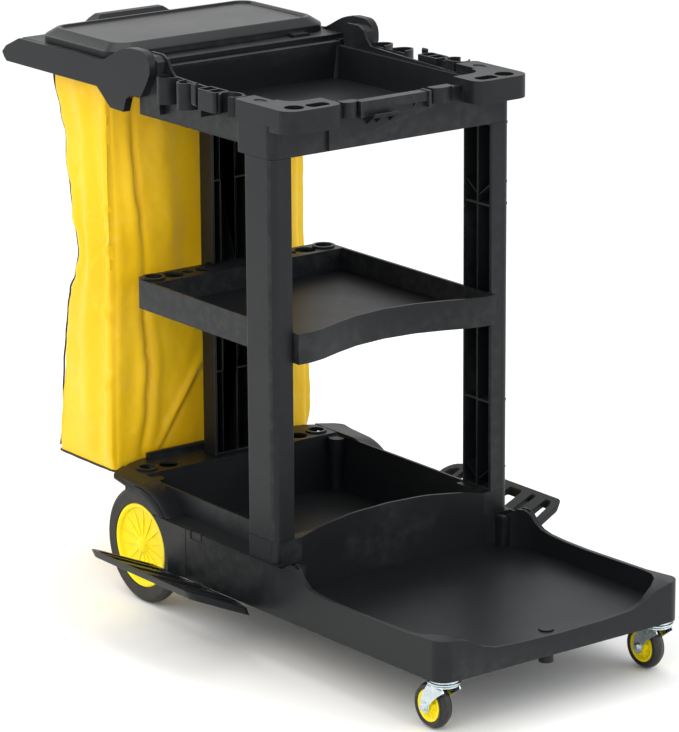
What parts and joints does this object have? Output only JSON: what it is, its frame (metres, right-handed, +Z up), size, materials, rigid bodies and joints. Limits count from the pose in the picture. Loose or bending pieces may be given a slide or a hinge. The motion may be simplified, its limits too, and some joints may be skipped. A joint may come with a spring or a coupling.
{
  "type": "housekeeping cart",
  "caption": "Rolling housekeeping cart with a front deck, tub, shelf and top tray between columns, a hinged lid over a hanging waste bag, and side tool racks.",
  "frame": {"origin": "centre of the whole cart's footprint, on the floor", "axes": "+Z up, -Y towards the front deck and its swivel casters, +Y towards the bag and handle, +X to the right seen from behind the handle"},
  "size_m": [0.7846, 1.222, 0.9535],
  "materials": {
    "black": "fine textured moulded plastic",
    "bag": "coated woven bag cloth",
    "hub": "smooth moulded plastic",
    "tyre": "solid tread, dull",
    "castertyre": "smooth rubber",
    "zinc": "bright zinc plate",
    "steel": "plain turned bar"
  },
  "bodies": {
    "chassis": {"base_moulding": "black", "front_column_left": "black", "front_column_right": "black", "rear_column": "black", "middle_shelf": "black", "top_tray": "black", "corner_cap_left": "black", "cap_screw_left": "zinc", "corner_cap_right": "black", "cap_screw_right": "zinc", "grip_clip_left": "black", "grip_clip_right": "black", "box_clip_left": "black", "box_clip_right": "black", "peg_hook_left": "black", "peg_hook_right": "black", "ring_clip_left": "black", "ring_clip_right": "black", "bag_yoke": "black", "bag": "bag", "side_rack_left": "black", "side_rack_right": "black", "rear_axle": "steel", "caster_top_left": "zinc", "caster_top_right": "zinc", "drain_plug": "black"},
    "lid": {"lid": "black"},
    "rear_wheel_left": {"rear_hub_left": "hub", "rear_tyre_left": "tyre"},
    "caster_left": {"caster_fork_left": "zinc", "caster_bolt_left": "zinc"},
    "caster_wheel_left": {"caster_hub_left": "hub", "caster_tyre_left": "castertyre"},
    "rear_wheel_right": {"rear_hub_right": "hub", "rear_tyre_right": "tyre"},
    "caster_right": {"caster_fork_right": "zinc", "caster_bolt_right": "zinc"},
    "caster_wheel_right": {"caster_hub_right": "hub", "caster_tyre_right": "castertyre"}
  },
  "joints": [
    {"name": "lid_hinge", "type": "hinge", "parent": "chassis", "child": "lid", "pos_m": [0, 0.271, 0.922], "axis": [1, 0, 0], "range_deg": [0, 100]},
    {"name": "rear_wheel_left_spin", "type": "hinge", "parent": "chassis", "child": "rear_wheel_left", "pos_m": [-0.22975, 0.214, 0.1], "axis": [1, 0, 0], "continuous": true},
    {"name": "caster_left_swivel", "type": "hinge", "parent": "chassis", "child": "caster_left", "pos_m": [-0.219, -0.584, 0.08], "axis": [0, 0, 1], "continuous": true},
    {"name": "caster_wheel_left_spin", "type": "hinge", "parent": "caster_left", "child": "caster_wheel_left", "pos_m": [-0.219, -0.557, 0.0375], "axis": [1, 0, 0], "continuous": true},
    {"name": "rear_wheel_right_spin", "type": "hinge", "parent": "chassis", "child": "rear_wheel_right", "pos_m": [0.22975, 0.214, 0.1], "axis": [1, 0, 0], "continuous": true},
    {"name": "caster_right_swivel", "type": "hinge", "parent": "chassis", "child": "caster_right", "pos_m": [0.219, -0.584, 0.08], "axis": [0, 0, 1], "continuous": true},
    {"name": "caster_wheel_right_spin", "type": "hinge", "parent": "caster_right", "child": "caster_wheel_right", "pos_m": [0.219, -0.557, 0.0375], "axis": [1, 0, 0], "continuous": true}
  ]
}
